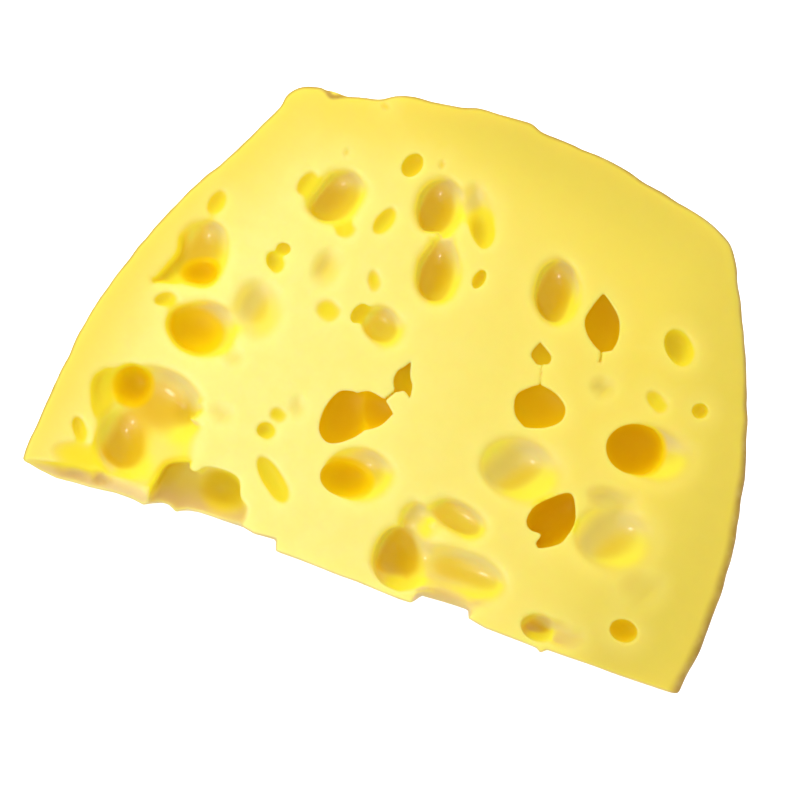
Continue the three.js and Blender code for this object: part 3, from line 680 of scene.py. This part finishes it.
# What the material's tones follow, at each vertex. On an eye's wall, dragged_side is above zero
# where the drag went to, and far_side away from the near cut. Facing is one on the upper face.
LOWEST, HIGHEST = -1, 40
tone_places = {
    "dragged_side": -normals[:, :2] @ np.array(DRAG),
    "far_side": -normals[:, :2] @ np.array(FAR),
    "facing": normals[:, 2],
    "near_distance": read_off(-near, spots),
    "rind_distance": read_off(-rind, spots),
    "eye_distance": read_off(eyes, spots),
    "eye_depth": read_off(-outer, spots),
    "pocket_distance": read_off(linings[POCKET], spots),
    "cup_distance": read_off(linings[CUP], spots),
    "split_distance": read_off(linings[SPLIT], spots),
    "dish_distance": read_off(linings[DISH], spots),
    # these two carry painted shade towards the right and towards the near right corner, the first
    # also the drying at the rim
    "dryness_and_shade": dry_and_shade,
    "toward_near_right": share(from_middle + CORNER_SHADE_SLANT * from_cut, CORNER_SHADE_FROM, CORNER_SHADE_TO),
    "enclosed": share(read_off(around, spots / 2), ON_FLAT, IN_POCKET),
}
for name, values in tone_places.items():
    layer = mesh.attributes.new(name, "FLOAT", "POINT")
    layer.data.foreach_set("value", np.clip(values, LOWEST, HIGHEST).astype(np.float32))


class Shading:
    """Short ways to add nodes to a material."""

    def __init__(self, name):
        self.material = bpy.data.materials.new(name)
        self.material.use_nodes = True
        self.tree = self.material.node_tree
        self.shader = self.tree.nodes["Principled BSDF"]

    def join(self, value, socket):
        if isinstance(value, bpy.types.NodeSocket):
            self.tree.links.new(value, socket)
        else:
            socket.default_value = value

    def attribute(self, name):
        node = self.tree.nodes.new("ShaderNodeAttribute")
        node.attribute_name = name
        return node.outputs["Fac"]

    def ramp(self, value, low, high, first=0.0, last=1.0):
        """Goes smoothly from first to last as the value goes from low to high."""
        node = self.tree.nodes.new("ShaderNodeMapRange")
        node.interpolation_type = "SMOOTHSTEP"
        for socket, number in zip(node.inputs, (value, low, high, first, last)):
            self.join(number, socket)
        return node.outputs["Result"]

    def mix(self, amount, a, b):
        """Colour a where the amount is none, and b where it is one."""
        node = self.tree.nodes.new("ShaderNodeMix")
        node.data_type = "RGBA"
        self.join(amount, node.inputs[0])
        self.join(a, node.inputs[6])
        self.join(b, node.inputs[7])
        return node.outputs[2]

    def noise(self, scale, detail):
        node = self.tree.nodes.new("ShaderNodeTexNoise")
        place = self.tree.nodes.new("ShaderNodeTexCoord")
        self.tree.links.new(place.outputs["Object"], node.inputs["Vector"])
        node.inputs["Scale"].default_value = scale
        node.inputs["Detail"].default_value = detail
        return node.outputs["Fac"]

    def bump(self, height, strength, distance):
        node = self.tree.nodes.new("ShaderNodeBump")
        self.join(strength, node.inputs["Strength"])
        node.inputs["Distance"].default_value = distance
        self.tree.links.new(height, node.inputs["Height"])
        self.tree.links.new(node.outputs["Normal"], self.shader.inputs["Normal"])

    def set(self, **values):
        for name, value in values.items():
            title = name.replace("_", " ").title().replace("Ior", "IOR")
            self.join(value, self.shader.inputs[title])


# The paste where it is fresh, pale or dry; its painted shades, dull, tan and deep in the eyes;
# its painted light, glow and sheen on their walls; and the rind.
PASTE = (0.93, 0.83, 0.26, 1)
PALE_PASTE = (0.95, 0.85, 0.30, 1)
DRY_AND_SHADED_PASTE = (0.86, 0.70, 0.095, 1)
TAN_PASTE = (0.72, 0.52, 0.21, 1)
WALL_PASTE = (0.88, 0.70, 0.11, 1)
DRY_AND_SHADED_WALL_PASTE = (0.76, 0.59, 0.07, 1)
PAINTED_GLOW_PASTE = (0.92, 0.81, 0.055, 1)
BOWL_PASTE = (0.90, 0.66, 0.03, 1)
DARK_BOWL_PASTE = (0.80, 0.58, 0.025, 1)
GOLD_PASTE = (0.77, 0.53, 0.014, 1)
HONEY_PASTE = (0.82, 0.54, 0.010, 1)
DARK_HONEY_PASTE = (0.77, 0.50, 0.009, 1)
DISH_PASTE = (0.76, 0.62, 0.16, 1)
PAINTED_LIGHT_PASTE = (0.98, 0.82, 0.10, 1)
SPLIT_PASTE = (0.76, 0.55, 0.065, 1)
CORNER_SHADE_PASTE = (0.62, 0.51, 0.06, 1)
POCKET_PASTE = (0.89, 0.73, 0.03, 1)
DEEP_PASTE = (0.93, 0.635, 0.003, 1)
DARK_PASTE = (0.84, 0.505, 0.002, 1)
PAINTED_SHEEN_PASTE = (0.80, 0.68, 0.33, 1)
RIND_PASTE = (0.52, 0.31, 0.04, 1)
RIND_BROWN = (0.27, 0.13, 0.016, 1)
RIND_BLOOM = (0.66, 0.48, 0.16, 1)

cheese_look = Shading("cheese_paste")
ramp, mix, noise = cheese_look.ramp, cheese_look.mix, cheese_look.noise
at = {name: cheese_look.attribute(name) for name in tone_places}
in_eye = ramp(at["eye_depth"], 0.2, 1.6)
right_side = ramp(at["dragged_side"], -0.3, 0.4)
mottle = noise(240, 3)

# The cut faces: drier towards the rind; painted shade darkens them towards the right, at the
# near right and by the rind on the right; pale by the eyes.
colour = mix(ramp(at["dryness_and_shade"], 0.0, 1.0), PASTE, DRY_AND_SHADED_PASTE)
colour = mix(ramp(at["rind_distance"], 0.0, 18.0, 0.9, 0.0), colour, DRY_AND_SHADED_PASTE)
corner_shade = ramp(at["toward_near_right"], 0.0, 1.0, 0.0, 0.85)
shade_by_rind = ramp(at["dryness_and_shade"], 0.6, 1.0, 0.0, 0.4)
corner_shade = ramp(at["rind_distance"], 0.0, 20.0, shade_by_rind, corner_shade)
colour = mix(corner_shade, colour, CORNER_SHADE_PASTE)
colour = mix(ramp(at["eye_distance"], 0.0, 5.0, 0.16, 0.0), colour, PALE_PASTE)
colour = mix(ramp(mottle, 0.35, 0.65, 0.0, 0.1), colour, DRY_AND_SHADED_PASTE)

# The eyes' walls: a painted glow on the side where the knife dragged, and painted shade that
# darkens them as they go down and the more they are enclosed, to honey further down, more on
# their right side.
wall = mix(ramp(at["dryness_and_shade"], 0.3, 1.0), WALL_PASTE, DRY_AND_SHADED_WALL_PASTE)
colour = mix(ramp(at["eye_depth"], 0.05, 1.2, 0.0, 0.6), colour, wall)
colour = mix(ramp(at["enclosed"], -0.04, 0.2), colour, wall)
colour = mix(ramp(at["dragged_side"], 0.06, 0.5, 0.0, in_eye), colour, PAINTED_GLOW_PASTE)
bowl = mix(right_side, BOWL_PASTE, DARK_BOWL_PASTE)
colour = mix(ramp(at["enclosed"], 0.06, 0.32), colour, bowl)
honey = mix(right_side, HONEY_PASTE, DARK_HONEY_PASTE)
dish = ramp(at["dish_distance"], -0.2, 0.8, 0.75, 0.0)
honey_share = ramp(dish, 0.0, 0.75, 0.95, 0.1)
colour = mix(ramp(at["eye_depth"], 3.2, 5.2, 0.0, honey_share), colour, honey)

# A dish has painted shade on its left, and a split eye painted shade. The far wall of an eye has
# a painted sheen, beige, and its left wall painted light.
in_dish = ramp(at["eye_depth"], 0.2, 2.4, 0.0, dish)
in_dish = ramp(at["dragged_side"], -0.1, 0.3, in_dish, 0.0)
colour = mix(in_dish, colour, DISH_PASTE)
in_split = ramp(at["split_distance"], 0.3, 1.6, in_eye, 0.0)
colour = mix(in_split, colour, SPLIT_PASTE)
painted_sheen = ramp(at["eye_depth"], 0.3, 1.5, 0.0, 0.6)
painted_sheen = ramp(at["eye_depth"], 3.2, 5.2, painted_sheen, 0.1)
painted_sheen = ramp(at["far_side"], 0.3, 0.8, 0.0, painted_sheen)
colour = mix(painted_sheen, colour, PAINTED_SHEEN_PASTE)
painted_light = ramp(at["dragged_side"], -0.8, -0.2, in_eye, 0.0)
colour = mix(painted_light, colour, PAINTED_LIGHT_PASTE)

# A painted shade, tan, lies in patches on the near cut's wall and on split eyes and ledges close
# to it, and as a thin tan line along its edge.
split_wall = ramp(at["split_distance"], 0.2, 1.0, 0.65, 0.0)
patches = ramp(mottle, 0.4, 0.6, 0.6, 0.95)
on_wall = ramp(at["eye_distance"], 0.2, 0.8, split_wall, patches)
on_ledge = ramp(at["eye_depth"], 0.0, 0.9, 0.0, 0.8)
tan_shade = ramp(at["facing"], 0.7, 0.96, on_wall, on_ledge)
tan_shade = ramp(at["near_distance"], 0.5, 6.0, tan_shade, 0.0)
tan_shade = ramp(at["near_distance"], 0.0, 0.6, 0.9, tan_shade)
colour = mix(tan_shade, colour, TAN_PASTE)

# The linings of cups turn gold and those of pockets darken as they go down, a painted shade.
lined = ramp(at["eye_depth"], 0.2, 0.9)
in_cup = ramp(at["cup_distance"], 0.3, 2.0, lined, 0.0)
gold = mix(ramp(at["eye_depth"], 1.2, 4.5), POCKET_PASTE, GOLD_PASTE)
colour = mix(in_cup, colour, gold)
in_pocket = ramp(at["pocket_distance"], 0.3, 1.3, lined, 0.0)
deep = mix(ramp(at["eye_depth"], 0.8, 3.6), POCKET_PASTE, DEEP_PASTE)
deep = mix(ramp(at["eye_depth"], 3.4, 6.6), deep, DARK_PASTE)
colour = mix(in_pocket, colour, deep)

# The rind, with brown patches, a pale bloom and a rough surface. Its tone reaches further in and
# is browner towards the near right, partly painted shade where the face curves down.
rind_band = ramp(at["toward_near_right"], -0.2, 0.8, 0.9, 2.6)
rind_share = ramp(at["rind_distance"], 0.0, rind_band, 1.0, 0.0)
brown = ramp(at["toward_near_right"], -0.1, 0.8, 0.55, 0.9)
brown = ramp(noise(60, 9), 0.34, 0.66, 0.1, brown)
rind_colour = mix(brown, RIND_PASTE, RIND_BROWN)
bloom = ramp(noise(260, 9), 0.46, 0.72, 0.0, 0.4)
rind_colour = mix(bloom, rind_colour, RIND_BLOOM)
colour = mix(rind_share, colour, rind_colour)
rough_rind = ramp(at["rind_distance"], 0.0, 0.5, 0.8, 0.06)
cheese_look.bump(noise(420, 8), rough_rind, 0.001)

# The bowls are wet and glossy. The cups, pockets and split eyes are matte, and so is the rind.
matte = ramp(in_cup, 0.0, 1.0, in_pocket, 1.0)
matte = ramp(in_split, 0.0, 1.0, matte, 0.7)
matte = ramp(rind_share, 0.3, 1.0, matte, 0.7)
sheen = ramp(at["eye_depth"], 1.0, 2.2, 0.25, 0.2)
wet = ramp(at["eye_depth"], 1.5, 2.7, 0.0, 0.16)
wet = ramp(at["near_distance"], 1.0, 5.0, 0.0, wet)
cheese_look.set(
    base_color=colour,
    roughness=0.42,
    specular_ior_level=ramp(matte, 0.0, 1.0, sheen, 0.06),
    coat_weight=ramp(matte, 0.0, 0.5, wet, 0.0),
    coat_roughness=0.12,
    subsurface_weight=ramp(rind_share, 0.3, 1.0, 1.0, 0.3),
    subsurface_radius=(1.0, 0.75, 0.3),
    subsurface_scale=0.004,
)
mesh.materials.append(cheese_look.material)

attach(wedge, "root")
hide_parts("cheese")

# ---- Floor and lights -------------------------------------------------------------------------
# A plain pale floor under the wedge, and a white studio with soft lamps. The lamps that shade the
# cheese don't show in its gloss, and the two that show in its wet eyes don't light it.

floor_mesh = bpy.data.meshes.new("floor")
floor_mesh.from_pydata([(-3, -3, 0), (3, -3, 0), (3, 3, 0), (-3, 3, 0)], [], [(0, 1, 2, 3)])
floor = bpy.data.objects.new("floor", floor_mesh)
bpy.context.scene.collection.objects.link(floor)
paint = bpy.data.materials.new("floor_paint")
paint.use_nodes = True
paint.node_tree.nodes["Principled BSDF"].inputs["Base Color"].default_value = (0.9, 0.9, 0.9, 1)
floor_mesh.materials.append(paint)
floor.visible_diffuse = False
floor.visible_glossy = False

WORLD = 0.87
world = bpy.data.worlds.new("studio")
bpy.context.scene.world = world
world.use_nodes = True
world.node_tree.nodes["Background"].inputs["Color"].default_value = (1, 1, 1, 1)
world.node_tree.nodes["Background"].inputs["Strength"].default_value = WORLD


def area_light(name, azimuth, elevation, distance, size, power, colour):
    """A lamp that looks at the wedge; azimuth is counted from the near side towards the right."""
    a, e = math.radians(azimuth), math.radians(elevation)
    away = Vector((math.sin(a) * math.cos(e), -math.cos(a) * math.cos(e), math.sin(e)))
    light = bpy.data.lights.new(name, "AREA")
    light.size = size
    light.energy = power
    light.color = colour
    lamp = bpy.data.objects.new(name, light)
    lamp.location = Vector((0, 0, 0.03)) + away * distance
    lamp.rotation_euler = away.to_track_quat("Z", "Y").to_euler()
    bpy.context.scene.collection.objects.link(lamp)
    return lamp


sky = area_light("sky", -112, 72, 0.8, 1.0, 1.5, (1, 1, 1))
key = area_light("key", -105, 40, 0.4, 0.16, 0.35, (1, 0.99, 0.97))
fill = area_light("fill", -20, 22, 0.6, 0.35, 0.1, (1, 0.92, 0.86))
for lamp in (sky, key, fill):
    lamp.visible_glossy = False
glint = area_light("glint", -30, 21, 0.6, 0.07, 0.9, (1, 0.95, 0.93))
window_light = area_light("window", -28, 14, 0.5, 0.4, 1.3, (1, 0.93, 0.95))
for lamp in (glint, window_light):
    lamp.visible_diffuse = False

# The floor has a lamp of its own, which the wedge doesn't shade, so its shadow stays pale.
floor_lamp = area_light("floor_lamp", 0, 88, 1.5, 2.0, 45, (1, 1, 1))
only_floor = bpy.data.collections.new("only_floor")
only_floor.objects.link(floor)
floor_lamp.light_linking.receiver_collection = only_floor
floor_lamp.light_linking.blocker_collection = only_floor

# ---- Camera -----------------------------------------------------------------------------------
# It looks down on the wedge from the near side, a little from the right, at a place on the upper
# face that is given by u and the distance from the near cut.

VIEW_AZIMUTH = math.radians(20.297)
VIEW_ELEVATION = math.radians(70)
VIEW_DISTANCE = 450.0
LOOK_U, LOOK_S = -0.354, 36.961
FOCAL_PIXELS = 2251.4  # focal length in pixels of the picture
PICTURE = 800
look = np.array([LOOK_U, TIP_LENGTH + LOOK_S, 0]) @ tilt - shift
back = np.array([
    math.sin(VIEW_AZIMUTH) * math.cos(VIEW_ELEVATION),
    -math.cos(VIEW_AZIMUTH) * math.cos(VIEW_ELEVATION),
    math.sin(VIEW_ELEVATION),
])
camera_data = bpy.data.cameras.new("camera")
camera_data.sensor_width = 36
camera_data.lens = 36 * FOCAL_PIXELS / PICTURE
camera_data.clip_start = 0.01
camera = bpy.data.objects.new("camera", camera_data)
camera.location = Vector((look + VIEW_DISTANCE * back) * MM)
camera.rotation_euler = Vector(-back).to_track_quat("-Z", "Y").to_euler()
bpy.context.scene.collection.objects.link(camera)
bpy.context.scene.camera = camera
bpy.context.scene.view_settings.view_transform = "Standard"
